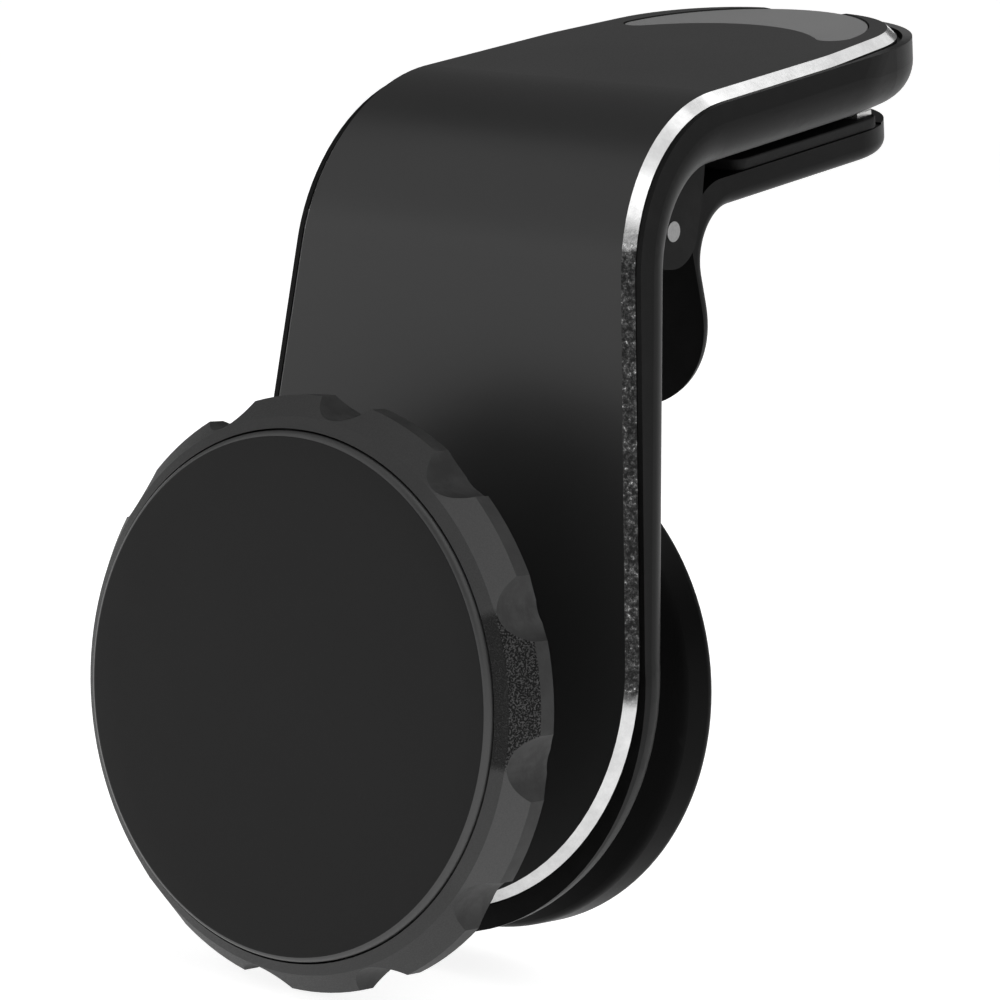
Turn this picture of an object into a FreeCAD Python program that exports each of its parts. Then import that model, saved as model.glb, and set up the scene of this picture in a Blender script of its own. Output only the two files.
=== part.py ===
import FreeCAD, Part
import Sketcher
import math
import os

# Car phone mount: a bent plate on a moulded housing, a sprung jaw behind it that grips a slat of an air
# vent, and a round magnetic head on a ball joint. Millimetres, +X to the right, +Y rearwards, +Z up.
# The document's origin is the middle of the closed jaw. Every piece is drawn about a datum of its own:
#   plate datum  - front face of the plate, at the height where its lower end turns round
#   head datum   - centre of the round pad's edge
#   ball datum   - centre of the ball
#   pivot datum  - axis of the jaw's pivot pin
#   foot datum   - axis of the round rear foot, level with the plate's front face

os.makedirs("parts", exist_ok=True)
doc = FreeCAD.newDocument("PhoneMount")
Vector = FreeCAD.Vector
ALONG_Y = FreeCAD.Rotation(Vector(1, 0, 0), -90)
ALONG_X = FreeCAD.Rotation(Vector(0, 1, 0), 90)

SIZES = {
    # where the datums stand, measured from the plate datum
    "jaw_y": 30.6, "jaw_z": 40.4,
    "head_y": -16.43, "head_z": -3.53,
    "ball_y": -6.0,
    "pivot_y": 10.8, "pivot_z": 32.6,
    "foot_z": -4.18,
    # bent plate
    "bend_corner_z": 41.18, "bend_radius": 14.55, "arm_rise": 11.64,
    "end_radius": 19.21, "end_centre_z": -1.42, "side_slope": 0.1095,
    "cap_shoulder_x": 12.0, "cap_shoulder_a": 31.1, "cap_shoulder_radius": 10,
    "cap_tip_a": 33.1, "cap_tip_radius": 26, "cap_start_a": 6, "cap_side_x": 15.0, "cap_side_a": 9,
    "cap_bend_radius": 25,
    "plate_thickness": 1.2, "plate_chamfer": 0.76, "glue_thickness": 0.15, "glue_inset": 1.6,
    # inlay let into the top of the arm
    "inlay_outer_radius": 11.5, "inlay_outer_a": 21.7, "inlay_inner_radius": 12.4, "inlay_inner_a": 12.8,
    "inlay_tip_radius": 1.6, "inlay_depth": 0.45, "inlay_thickness": 0.35, "inlay_gap": 0.15,
    # housing
    "housing_lip": 1.3, "housing_cap_lip": 2.0, "plate_gap": 0.1, "cap_gap": 0.45,
    "housing_depth": 5.8, "housing_depth_low": 3.0, "housing_round": 3.2, "housing_drop": 1.45,
    "arm_floor": 1.2, "arm_pocket_half_width": 9, "arm_pocket_start_a": 4, "arm_pocket_end_a": 22,
    "leg_pocket_low_half": 11, "leg_pocket_top_half": 10, "leg_pocket_low_z": 9, "leg_pocket_top_z": 27,
    "leg_pocket_back": 3.6,
    "ear_inner_x": 10.8, "ear_outer_x": 12.4, "ear_radius": 2.95, "ear_rear": 3.4, "ear_front_y": 4.5,
    # jaw, its pin and its spring
    "lever_half_width": 10.5, "jaw_top": 8.3, "jaw_bottom": 10.75, "jaw_tip_a": 34.5,
    "jaw_tip_round": 9, "jaw_lip_start_a": 28.9, "jaw_lip_top": 8.15,
    "tail_thickness": 1.3, "tail_slope": 0.41, "tail_y": 17.4, "tail_z": 30.9,
    "tail_end_z": 18.0, "tail_round": 9.5, "lever_outer_round": 4.2, "lever_inner_round": 4.0,
    "lever_rim_round": 1.1,
    "lug_inner_x": 8.7, "lug_radius": 2.6, "lug_reach": 5.6,
    "pin_radius": 0.8, "pin_length": 24.9, "pin_clearance": 0.05,
    "wire_radius": 0.35, "coil_radius": 1.5, "coil_pitch": 0.8, "coil_length": 9.2,
    "leg_drop": 5.1, "tail_leg_y": 4.68, "housing_leg_y": 3.4,
    "jaw_pad_top": 7.35, "jaw_pad_half_width": 10.35, "jaw_pad_start_a": 8.5, "jaw_pad_end_a": 28.7,
    "hook_a": 26.0, "hook_width": 2.0, "hook_top": 6.65, "hook_bottom": 7.6, "hook_half_width": 9.5,
    "arm_pad_start_a": 6.5, "arm_pad_end_a": 30.5, "arm_pad_half_width": 9.2, "arm_pad_bottom": 6.4,
    "arm_pad_sunk": 0.4,
    # head, depths measured back from the pad's edge
    "pad_radius": 20.0, "pad_round": 0.5, "pad_crown": 0.6, "pad_back": 0.9,
    "film_back": 1.05, "film_radius": 19.0,
    "ring_bore": 20.15, "lip_radius": 21.06, "lip_back": 0.55, "ring_radius": 22.6,
    "facet_back": 2.35, "side_back": 3.85, "ring_back": 5.3, "ring_back_radius": 21.3,
    "scoop_radius": 3.0, "scoop_circle": 24.15, "scoop_phase": 25.0, "scoop_count": 12,
    "carrier_radius": 20.05, "carrier_back": 4.1,
    "magnet_radius": 4.0, "magnet_front": 1.9, "magnet_back": 4.0, "magnet_circle": 10.5,
    "magnet_count": 6, "magnet_gap": 0.1,
    "keeper_radius": 17.6, "keeper_back": 5.1,
    "shell_radius": 20.0, "shell_seat_radius": 18.0, "shell_seat_back": 5.2, "shell_rim_back": 5.3,
    "shell_shoulder_back": 6.6, "shell_shoulder_radius": 18.6,
    "shell_neck_back": 9.4, "shell_neck_radius": 9.6, "collar_radius": 9.0, "collar_back": 10.5,
    "collar_chamfer_back": 11.6, "collar_end_back": 12.6, "collar_end_radius": 8.3,
    "flange_bore": 9.25, "flange_seat_back": 6.88, "cup_bore": 7.65,
    "washer_front": 5.1, "washer_back": 5.38, "washer_bore": 6.6, "washer_radius": 9.1,
    "screw_circle": 15.6, "screw_head_radius": 1.8, "screw_head_front": 1.15, "screw_head_back": 2.4,
    "screw_radius": 1.0, "screw_end_back": 6.6, "screw_gap": 0.1, "screw_count": 4, "screw_phase": 45,
    # ball joint, depths measured back from the ball's centre
    "ball_radius": 5.0, "liner_bore": 5.05, "liner_radius": 6.1, "liner_front": 3.5, "liner_back": 2.2,
    "cup_cavity": 6.15, "cup_radius": 7.6, "cup_back": 2.2, "cup_flange_radius": 9.2,
    "cup_front": 5.0, "cup_flange_back": 3.6,
    "neck_radius": 2.6, "stud_flange_front": 4.2, "stud_flange_radius": 3.6,
    "stud_washer_thickness": 0.6, "stud_washer_radius": 5.0,
    "thread_radius": 2.5, "stud_end": 14.6, "stud_hole": 2.55,
    "nut_across": 8.0, "nut_thickness": 3.0, "nut_seat": 4.3, "nut_pocket_radius": 5.4,
    # rear foot, depths measured back from the plate's front face
    "foot_front": 3.6, "foot_front_radius": 17.3, "foot_radius": 19.6, "foot_shoulder": 7.2,
    "foot_round": 1.4, "foot_blend": 2.2, "foot_back": 11.7, "foot_wall_back": 9.3, "foot_bore": 16.0,
    "foot_recess": 10.9, "foot_pad_radius": 15.0, "foot_pad_back": 12.1, "foot_pad_gap": 0.1,
    "foot_boss_radius": 2.4, "foot_screw_circle": 11.5, "foot_screw_count": 3,
    "foot_screw_head_front": 1.45, "foot_screw_head_back": 2.8, "foot_screw_end": 8.4,
}

sheet = doc.addObject("Spreadsheet::Sheet", "Sizes")
for row, (alias, amount) in enumerate(SIZES.items(), 1):
    sheet.set(f"A{row}", alias)
    sheet.set(f"B{row}", str(amount))
    sheet.setAlias(f"B{row}", alias)
doc.recompute()


def size(name):
    """A driving dimension, read back from the sheet."""
    return float(getattr(sheet, name))


def total(words):
    """The value of a sum of named sizes, such as 'pad_radius + ring_gap'."""
    amount, sign = 0.0, 1
    for word in words.split():
        if word in "+-":
            sign = -1 if word == "-" else 1
        else:
            amount += sign * (size(word) if word in SIZES else float(word))
    return amount


def bound(words):
    """The same sum as an expression on the sheet."""
    return " ".join("Sizes." + word if word in SIZES else word for word in words.split())


DATUMS = {
    "plate": ("0 - jaw_y", "0 - jaw_z"),
    "head": ("head_y - jaw_y", "head_z - jaw_z"),
    "ball": ("ball_y - jaw_y", "head_z - jaw_z"),
    "pivot": ("pivot_y - jaw_y", "pivot_z - jaw_z"),
    "foot": ("0 - jaw_y", "foot_z - jaw_z"),
}
nodes = []


def place(piece, datum, rotation=None):
    """Stands a piece on its datum."""
    if rotation:
        piece.Placement.Rotation = rotation
    for axis, words in zip("yz", DATUMS[datum]):
        piece.setExpression(f"Placement.Base.{axis}", bound(words))


def keep(piece, label):
    """Names a finished sub-part and puts it on the list of nodes."""
    piece.Label = label
    nodes.append(piece)
    return piece


def feature(label, shape, datum):
    """A sub-part whose shape comes from Part's own functions."""
    piece = doc.addObject("Part::Feature", label)
    piece.Shape = shape
    place(piece, datum)
    return keep(piece, label)


# ---- PartDesign helpers -------------------------------------------------------------------------

def new_body(label, datum):
    body = doc.addObject("PartDesign::Body", label)
    place(body, datum)
    return keep(body, label)


def new_sketch(body, name, role, depth="0"):
    """A sketch on one of the body's origin planes, moved back along +Y when a depth is given."""
    plane = [f for f in body.Origin.OriginFeatures if f.Role == role][0]
    sketch = body.newObject("Sketcher::SketchObject", name)
    sketch.AttachmentSupport = (plane, "")
    sketch.MapMode = "FlatFace"
    if depth != "0":
        sketch.setExpression("AttachmentOffset.Base.z", f"-({bound(depth)})")
    return sketch


def polygon(sketch, corners):
    """A closed outline whose every corner is held to the sheet in both directions."""
    points = [Vector(total(across), total(up), 0) for across, up in corners]
    for index, point in enumerate(points):
        sketch.addGeometry(Part.LineSegment(point, points[(index + 1) % len(points)]), False)
    for index in range(len(points)):
        following = (index + 1) % len(points)
        sketch.addConstraint(Sketcher.Constraint("Coincident", index, 2, following, 1))
    for index, corner in enumerate(corners):
        for kind, words in zip(("DistanceX", "DistanceY"), corner):
            rule = Sketcher.Constraint(kind, -1, 1, index, 1, total(words))
            sketch.setExpression(f"Constraints[{sketch.addConstraint(rule)}]", bound(words))


def turned(label, datum, corners):
    """A body turned about its datum's Y axis from a profile of (depth, radius) corners."""
    body = new_body(label, datum)
    sketch = new_sketch(body, label + "_profile", "YZ_Plane")
    polygon(sketch, corners)
    turn = body.newObject("PartDesign::Revolution", label + "_turn")
    turn.Profile = sketch
    turn.ReferenceAxis = (sketch, ["H_Axis"])
    turn.Angle = 360
    doc.recompute()
    return body


def drilled(body, name, radius, circle_radius, count, phase, front, back):
    """A ring of round holes along Y between two depths; fails if nothing was cut."""
    before = body.Shape.Volume
    sketch = new_sketch(body, name + "_sketch", "XZ_Plane", back)
    angle = math.radians(phase)
    centre = Vector(math.cos(angle), math.sin(angle), 0) * total(circle_radius)
    index = sketch.addGeometry(Part.Circle(centre, Vector(0, 0, 1), total(radius)), False)
    number = sketch.addConstraint(Sketcher.Constraint("Radius", index, total(radius)))
    sketch.setExpression(f"Constraints[{number}]", bound(radius))
    for kind, turn, amount in (("DistanceX", "cos", centre.x), ("DistanceY", "sin", centre.y)):
        number = sketch.addConstraint(Sketcher.Constraint(kind, -1, 1, index, 3, amount))
        sketch.setExpression(f"Constraints[{number}]", f"({bound(circle_radius)}) * {turn}({phase} deg)")
    pocket = body.newObject("PartDesign::Pocket", name)
    pocket.Profile = sketch
    pocket.Reversed = True
    pocket.setExpression("Length", f"{bound(back)} - ({bound(front)})")
    doc.recompute()
    if count > 1:
        ring = body.newObject("PartDesign::PolarPattern", name + "_ring")
        ring.Originals = [pocket]
        ring.Axis = (sketch, ["N_Axis"])
        ring.Angle = 360
        ring.Occurrences = count
        body.Tip = ring
        doc.recompute()
    if body.Shape.Volume > before - 0.01:
        raise RuntimeError(f"{name} cut nothing")


# ---- Part primitives ----------------------------------------------------------------------------

def primitive(kind, name, rotation=None, **properties):
    """A Part primitive; each property is a sum of named sizes, or any expression on the sheet."""
    piece = doc.addObject(kind, name)
    if rotation:
        piece.Placement.Rotation = rotation
    for key, words in properties.items():
        path = f"Placement.Base.{key}" if key in "xyz" else key
        piece.setExpression(path, words if "Sizes." in words else bound(words))
    return piece


def rod(name, radius, front, back, **where):
    """A cylinder along Y between two depths."""
    return primitive("Part::Cylinder", name, ALONG_Y, Radius=radius, y=front,
                     Height=f"{bound(back)} - ({bound(front)})" if "_" in back + front else back, **where)


def fused(name, shapes):
    joined = doc.addObject("Part::MultiFuse", name)
    joined.Shapes = shapes
    return joined


def cut(name, base, tool):
    remaining = doc.addObject("Part::Cut", name)
    remaining.Base = base
    remaining.Tool = tool
    return remaining


def around(circle_radius, count, phase):
    """Expressions for the X and Z of points evenly spread on a circle."""
    for index in range(count):
        angle = phase + 360 / count * index
        yield {"x": f"Sizes.{circle_radius} * cos({angle} deg)",
               "z": f"Sizes.{circle_radius} * sin({angle} deg)"}


def group(label, datum, pieces):
    """Identical pieces that share one node as separate solids."""
    together = doc.addObject("Part::Compound", label)
    together.Links = pieces
    place(together, datum)
    return keep(together, label)


# ---- outlines for the bent pieces, in the plate datum ---------------------------------------------

RISE = math.radians(size("arm_rise"))
ARM = Vector(0, math.cos(RISE), math.sin(RISE))
INTO = Vector(0, math.sin(RISE), -math.cos(RISE))
BEND_RUN = size("bend_radius") * math.tan((math.pi / 2 - RISE) / 2)
ARM_START = Vector(0, 0, size("bend_corner_z")) + ARM * BEND_RUN
FAR = 60.0


def arm_point(along, depth, across=0.0):
    """A point by its distance along the arm from the bend, its depth below the arm's face, and X."""
    return ARM_START + ARM * along + INTO * depth + Vector(across, 0, 0)


def bend_corner(depth):
    """Where the leg and the arm would meet at a depth below their outer faces."""
    return Vector(0, depth, size("bend_corner_z") - depth * math.cos(RISE) / (1 + math.sin(RISE)))


def rounded(corners):
    """A closed wire through (point, radius) corners, each rounded by a tangent arc."""
    starts, arcs, ends = [], [], []
    for index, (point, radius) in enumerate(corners):
        back = (corners[index - 1][0] - point).normalize()
        onward = (corners[(index + 1) % len(corners)][0] - point).normalize()
        half = back.getAngle(onward) / 2
        reach = radius / math.tan(half)
        centre = point + (back + onward).normalize() * (radius / math.sin(half))
        starts.append(point + back * reach)
        ends.append(point + onward * reach)
        arcs.append(centre + (point - centre).normalize() * radius if radius else None)
    edges = []
    for index, middle in enumerate(arcs):
        if middle:
            edges.append(Part.Arc(starts[index], middle, ends[index]).toShape())
        following = starts[(index + 1) % len(corners)]
        edges.append(Part.LineSegment(ends[index], following).toShape())
    return Part.Wire(edges)


def prism(corners, travel):
    return Part.Face(rounded(corners)).extrude(travel)


def mirrored(corners):
    """Closes an outline given for +X by adding its mirror image, for corners (across, along, radius)."""
    other = [(-across, along, radius) for across, along, radius in reversed(corners) if across]
    return list(corners) + other


def arm_prism(corners, front, back):
    """Extrudes an outline of (across, along, radius) corners, drawn on the arm, between two depths."""
    points = [(arm_point(along, front, across), radius) for across, along, radius in corners]
    return prism(points, INTO * (back - front))


def rod_shape(radius, front, back, across=0.0, up=0.0):
    return Part.makeCylinder(radius, back - front, Vector(across, front, up), Vector(0, 1, 0))


def bent_slab(front, back, back_low):
    """The L-shaped section, far wider and longer than the piece, between two depths."""
    inner = bend_corner(back)
    corners = [
        (Vector(0, front, -FAR), 0),
        (bend_corner(front), size("bend_radius") - front),
        (arm_point(FAR, front), 0),
        (arm_point(FAR, back), 0),
        (inner, size("bend_radius") - back),
        (Vector(0, back_low, -FAR), 0),
    ]
    corners = [(point - Vector(FAR, 0, 0), radius) for point, radius in corners]
    return prism(corners, Vector(2 * FAR, 0, 0))


def half_width(up, grow):
    """Half the width of the front outline at a height, where its sides are straight."""
    radius, slope = size("end_radius") + grow, math.atan(size("side_slope"))
    fall = up - size("end_centre_z") - radius * math.sin(slope)
    return radius * math.cos(slope) - size("side_slope") * fall


def front_prism(grow, drop=0):
    """The outline seen from the front: a round lower end, which may drop, and sides that draw together."""
    radius, slope = size("end_radius") + grow, math.atan(size("side_slope"))
    low = Vector(0, -FAR, size("end_centre_z") - radius - drop)
    side_z, top_x = size("end_centre_z") + radius * math.sin(slope), half_width(2 * FAR, grow)
    side_x = half_width(side_z, grow)
    right, left = Vector(side_x, -FAR, side_z), Vector(-side_x, -FAR, side_z)
    top_right, top_left = Vector(top_x, -FAR, 2 * FAR), Vector(-top_x, -FAR, 2 * FAR)
    edges = [Part.Arc(right, low, left).toShape()]
    for start, end in ((left, top_left), (top_left, top_right), (top_right, right)):
        edges.append(Part.LineSegment(start, end).toShape())
    return Part.Face(Part.Wire(edges)).extrude(Vector(0, 3 * FAR, 0))


def cap_wire(depth, grow, cap_grow):
    """The arm's end at a depth: its straight sides draw in slowly, then round the shoulders to the tip."""
    start, side_x, side_a = size("cap_start_a"), size("cap_side_x") + cap_grow, size("cap_side_a")
    shoulder_x = size("cap_shoulder_x") + 0.9 * cap_grow
    shoulder_a = size("cap_shoulder_a") + 0.9 * cap_grow
    root, start_x = (half_width(arm_point(along, depth).z, grow) for along in (0, start))
    narrowing = (root - start_x) / start
    lean = (side_x - shoulder_x) / (shoulder_a - side_a)
    bend_a = (side_x + lean * side_a - root) / (lean - narrowing)
    corners = mirrored([
        (start_x, start, 0), (root - narrowing * bend_a, bend_a, size("cap_bend_radius")),
        (shoulder_x, shoulder_a, size("cap_shoulder_radius") + cap_grow),
        (0, size("cap_tip_a") + cap_grow, size("cap_tip_radius") + cap_grow),
    ])
    return rounded([(arm_point(along, depth, across), radius) for across, along, radius in corners])


def bent_strip(front, back, back_low, grow, cap_grow, drop=0, rear_round=0):
    """A bent slab trimmed to the outline, with the arm's rounded end, its rear rim rounded if asked."""
    start = size("cap_start_a")
    beyond = arm_prism([(-FAR, start, 0), (-FAR, 2 * FAR, 0), (FAR, 2 * FAR, 0), (FAR, start, 0)],
                       -FAR / 2, FAR / 2)
    strip = bent_slab(front, back, back_low).common(front_prism(grow, drop)).cut(beyond)
    cap = Part.makeLoft([cap_wire(depth, grow, cap_grow) for depth in (front, back)], True, True)
    strip = strip.fuse(cap).removeSplitter()
    if rear_round:
        strip = strip.makeFillet(rear_round, rim(strip, True))
    return strip


def normal(face):
    first, last, low, high = face.ParameterRange
    return face.normalAt((first + last) / 2, (low + high) / 2)


def is_flat(face):
    """True for the faces that follow the bent slab, false for its edges all round."""
    if isinstance(face.Surface, Part.Cylinder):
        return abs(face.Surface.Axis.x) > 0.9
    facing = normal(face)
    return abs(facing.x) < 0.05 and (abs(facing.dot(ARM)) < 0.1 or abs(facing.z) < 0.1)


def rim(shape, rear):
    """The edges between a bent strip's rear (or front) faces and its sides."""
    sides = [edge for face in shape.Faces if not is_flat(face) for edge in face.Edges]
    edges = []
    for face in shape.Faces:
        facing = normal(face)
        if is_flat(face) and (facing.y > 0.1 or facing.z < -0.5) == rear:
            edges += [edge for edge in face.Edges if any(edge.isSame(side) for side in sides)]
    return edges


# ---- bent plate, its glue film and inlay ----------------------------------------------------------

SEAT = size("plate_thickness") + size("glue_thickness")
STUD_Z = size("head_z")


def crescent(shrink, front, back):
    """A plain crescent on the arm's face, symmetric about its middle line, with rounded tips."""
    outer = size("inlay_outer_radius") - shrink
    inner = size("inlay_inner_radius") + shrink
    disc = Part.makeCylinder(outer, back - front, arm_point(size("inlay_outer_a"), front), INTO)
    bite = Part.makeCylinder(inner, back - front, arm_point(size("inlay_inner_a"), front), INTO)
    shape = disc.cut(bite)
    tips = [edge for edge in shape.Edges
            if isinstance(edge.Curve, Part.Line) and abs(edge.CenterOfMass.x) > outer / 2]
    return shape.makeFillet(size("inlay_tip_radius") - shrink, tips)


def front_plate():
    thickness, chamfer = size("plate_thickness"), size("plate_chamfer")
    plate = bent_strip(0, thickness, thickness, chamfer, chamfer)
    plate = plate.makeChamfer(chamfer, rim(plate, False))
    plate = plate.cut(rod_shape(size("stud_hole"), -1, FAR / 2, 0, STUD_Z))
    recess = crescent(0, -1, size("inlay_depth"))
    return plate.cut(recess)


def top_inlay():
    depth = size("inlay_depth")
    return crescent(size("inlay_gap"), depth - size("inlay_thickness"), depth)


def plate_glue():
    inset = size("plate_chamfer") - size("glue_inset")
    film = bent_strip(size("plate_thickness"), SEAT, SEAT, inset, inset)
    return film.cut(rod_shape(size("stud_hole") + 1, -1, FAR / 2, 0, STUD_Z))


# ---- housing ---------------------------------------------------------------------------------------

def ears():
    """Two lugs under the bend that carry the pivot pin."""
    pin_y, pin_z, radius = size("pivot_y"), size("pivot_z"), size("ear_radius")
    front, rear = size("ear_front_y"), pin_y + size("ear_rear")
    root_z = pin_z + 2.1 * radius
    corners = [
        (front, pin_z - radius, 0), (pin_y + radius, pin_z - radius, radius),
        (rear, pin_z + radius, radius / 2), (rear, root_z, 0),
        (pin_y - radius / 2, pin_z + 1.5 * radius, 0), (front, pin_z + radius / 2, 0),
    ]
    inner, outer = size("ear_inner_x"), size("ear_outer_x")
    blocks = []
    for start in (inner, -outer):
        points = [(Vector(start, y, z), bend) for y, z, bend in corners]
        blocks.append(prism(points, Vector(outer - inner, 0, 0)))
    return blocks


def arm_pad_outline():
    half, start, end = size("arm_pad_half_width"), size("arm_pad_start_a"), size("arm_pad_end_a")
    return [(half, start, 1), (half, end, 7), (-half, end, 7), (-half, start, 1)]


def housing_blank(front):
    """The housing's outer form from a depth back, before anything is taken out of it."""
    return bent_strip(front, size("housing_depth"), size("housing_depth_low"), size("housing_lip"),
                      size("housing_cap_lip"), size("housing_drop"), size("housing_round"))


def housing():
    chamfer, depth = size("plate_chamfer"), size("housing_depth")
    shell = housing_blank(chamfer).fuse(ears())
    tools = [
        bent_strip(chamfer - 1, SEAT, SEAT, chamfer + size("plate_gap"), chamfer + size("cap_gap")),
        rod_shape(size("stud_hole"), 0, FAR, 0, STUD_Z),
        rod_shape(size("nut_pocket_radius"), size("nut_seat"), FAR / 2, 0, STUD_Z),
        arm_prism(arm_pad_outline(), depth - size("arm_pad_sunk"), depth + 1),
        arm_prism(arm_pocket_outline(), 0, depth - size("arm_pad_sunk") - size("arm_floor")),
        leg_pocket(),
        pin_line(size("pin_radius")),
    ]
    head_radius = size("screw_head_radius") + size("screw_gap")
    for across, up in foot_screw_places():
        tools.append(rod_shape(head_radius, 0, size("foot_screw_head_back"), across, up))
        tools.append(rod_shape(size("screw_radius"), 0, FAR / 2, across, up))
    return shell.cut(tools)


def arm_pocket_outline():
    """The hollow that keeps the arm's wall thin, hidden under the plate."""
    half, start, end = size("arm_pocket_half_width"), size("arm_pocket_start_a"), size("arm_pocket_end_a")
    return [(half, start, 2), (half, end, 4), (-half, end, 4), (-half, start, 2)]


def leg_pocket():
    """The same in the leg, between the foot and the bend."""
    low_half, top_half = size("leg_pocket_low_half"), size("leg_pocket_top_half")
    low, top = size("leg_pocket_low_z"), size("leg_pocket_top_z")
    corners = [(low_half, low), (top_half, top), (-top_half, top), (-low_half, low)]
    return prism([(Vector(x, 0, z), 3) for x, z in corners], Vector(0, size("leg_pocket_back"), 0))


def pin_line(radius):
    """A cylinder along the pivot pin's axis, right through."""
    return Part.makeCylinder(radius, 2 * FAR, Vector(-FAR, size("pivot_y"), size("pivot_z")), Vector(1, 0, 0))


def foot_screw_places():
    """X and Z of the screws that hold the foot, in the plate datum."""
    count = int(size("foot_screw_count"))
    for index in range(count):
        angle = math.radians(90 + 360 / count * index)
        reach = size("foot_screw_circle")
        yield reach * math.cos(angle), size("foot_z") + reach * math.sin(angle)


feature("front_plate", front_plate(), "plate")
feature("top_inlay", top_inlay(), "plate")
feature("plate_adhesive", plate_glue(), "plate")
feature("housing", housing(), "plate")


# ---- rear foot -------------------------------------------------------------------------------------

def rounded_rims(body, name, radius, rims):
    """Fillets the circular edges that stand at given (depth, radius) pairs."""
    names = []
    base = body.Tip
    for number, edge in enumerate(body.Shape.Edges, 1):
        if isinstance(edge.Curve, Part.Circle):
            local = body.Placement.inverse().multVec(edge.Curve.Center)
            if any(abs(local.y - total(depth)) < 1e-4 and abs(edge.Curve.Radius - total(reach)) < 1e-4
                   for depth, reach in rims):
                names.append(f"Edge{number}")
    if len(names) != len(rims):
        raise RuntimeError(f"{name} found {len(names)} of {len(rims)} edges")
    fillet = body.newObject("PartDesign::Fillet", name)
    fillet.Base = (base, names)
    fillet.setExpression("Radius", bound(radius))
    doc.recompute()


foot_shell = turned("foot_shell", "foot", [
    ("foot_front", "foot_bore"), ("foot_front", "foot_front_radius"), ("foot_shoulder", "foot_radius"),
    ("foot_back", "foot_radius"), ("foot_back", "foot_pad_radius + foot_pad_gap"),
    ("foot_recess", "foot_pad_radius + foot_pad_gap"), ("foot_recess", "0"),
    ("foot_wall_back", "0"), ("foot_wall_back", "foot_bore"),
])
nodes.remove(foot_shell)
rounded_rims(foot_shell, "foot_blend_round", "foot_blend", [("foot_shoulder", "foot_radius")])
rounded_rims(foot_shell, "foot_edge_round", "foot_round", [("foot_back", "foot_radius")])
foot_bosses = []
foot_pilots = []
for spot in around("foot_screw_circle", int(size("foot_screw_count")), 90):
    foot_bosses.append(rod("foot_boss", "foot_boss_radius", "foot_front", "foot_wall_back", **spot))
    foot_pilots.append(rod("foot_pilot", "screw_radius", "foot_front", "foot_screw_end", **spot))
foot_posts = fused("foot_posts", foot_bosses)
place(foot_posts, "foot")
foot_holes = fused("foot_holes", foot_pilots)
place(foot_holes, "foot")
housing_envelope = doc.addObject("Part::Feature", "housing_envelope")
housing_envelope.Shape = housing_blank(0)
place(housing_envelope, "plate")
keep(cut("foot_cover", fused("foot_solid", [foot_shell, foot_posts]),
         fused("foot_space", [housing_envelope, foot_holes])), "foot_cover")

turned("foot_pad", "foot", [("foot_recess", "0"), ("foot_recess", "foot_pad_radius"),
                            ("foot_pad_back", "foot_pad_radius"), ("foot_pad_back", "0")])


def screws(label, datum, circle_radius, count, phase, head, front, seat, end):
    """A set of screws along Y: a round head between two depths and a shank to its end."""
    pieces = []
    for where in around(circle_radius, count, phase):
        parts = [rod(label + "_head", head, front, seat, **where),
                 rod(label + "_shank", "screw_radius", seat, end, **where)]
        pieces.append(fused(label + "_one", parts))
    return group(label, datum, pieces)


screws("foot_screws", "foot", "foot_screw_circle", int(size("foot_screw_count")), 90,
       "screw_head_radius", "foot_screw_head_front", "foot_screw_head_back", "foot_screw_end")


# ---- clip: lever, pads, hook, pin and spring --------------------------------------------------------

def meeting(first, along, second, onward):
    """Where two lines in the YZ plane cross, each a point and a direction."""
    gap = second - first
    share = (gap.y * onward.z - gap.z * onward.y) / (along.y * onward.z - along.z * onward.y)
    return first + along * share


TAIL = Vector(0, size("tail_slope"), -1).normalize()
TAIL_IN = Vector(0, TAIL.z, -TAIL.y)
TAIL_START = Vector(0, size("tail_y"), size("tail_z"))


def jaw_outline(inset):
    """The jaw's round end, with straight sides that only reach the lever's own from there back."""
    half, tip = size("lever_half_width") - inset, size("jaw_tip_a") - inset
    tip_round = size("jaw_tip_round") - inset
    start = tip - tip_round
    return [(half + 1, -FAR, 0), (half + 1, start, 0), (half, start, 0), (half, tip, tip_round),
            (-half, tip, tip_round), (-half, start, 0), (-half - 1, start, 0), (-half - 1, -FAR, 0)]


def clip_lever():
    """An L-shaped lever: the jaw under the arm, the tail that is pressed, and two lugs for the pin."""
    half, thickness = size("lever_half_width"), size("tail_thickness")
    tail_end = (size("tail_z") - size("tail_end_z")) / abs(TAIL.z)
    inner_start = TAIL_START + TAIL_IN * thickness
    corners = [
        (arm_point(FAR, size("jaw_bottom")), 0),
        (meeting(arm_point(0, size("jaw_bottom")), ARM, TAIL_START, TAIL), size("lever_inner_round")),
        (TAIL_START + TAIL * FAR, 0),
        (inner_start + TAIL * FAR, 0),
        (meeting(arm_point(0, size("jaw_top")), ARM, inner_start, TAIL), size("lever_outer_round")),
        (arm_point(FAR, size("jaw_top")), 0),
    ]
    bent = prism([(point - Vector(half, 0, 0), radius) for point, radius in corners], Vector(2 * half, 0, 0))
    lip_start = size("jaw_lip_start_a")
    lip = arm_prism([(half, lip_start, 0), (half, FAR, 0), (-half, FAR, 0), (-half, lip_start, 0)],
                    size("jaw_lip_top"), size("jaw_top") + 1)
    jaw = arm_prism(jaw_outline(0), -FAR, FAR)
    tail_corners = [(half, -2 * FAR, 0), (half, tail_end, size("tail_round")),
                    (-half, tail_end, size("tail_round")), (-half, -2 * FAR, 0)]
    tail = prism([(TAIL_START + TAIL * along - TAIL_IN * FAR + Vector(across, 0, 0), radius)
                  for across, along, radius in tail_corners], TAIL_IN * (2 * FAR))
    lever = bent.fuse(lip).common(jaw).common(tail).removeSplitter()
    lever = lever.makeFillet(size("lever_rim_round"), outer_rim(lever))
    return lever.fuse(lever_lugs()).cut(pin_line(size("pin_radius") + size("pin_clearance")))


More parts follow.
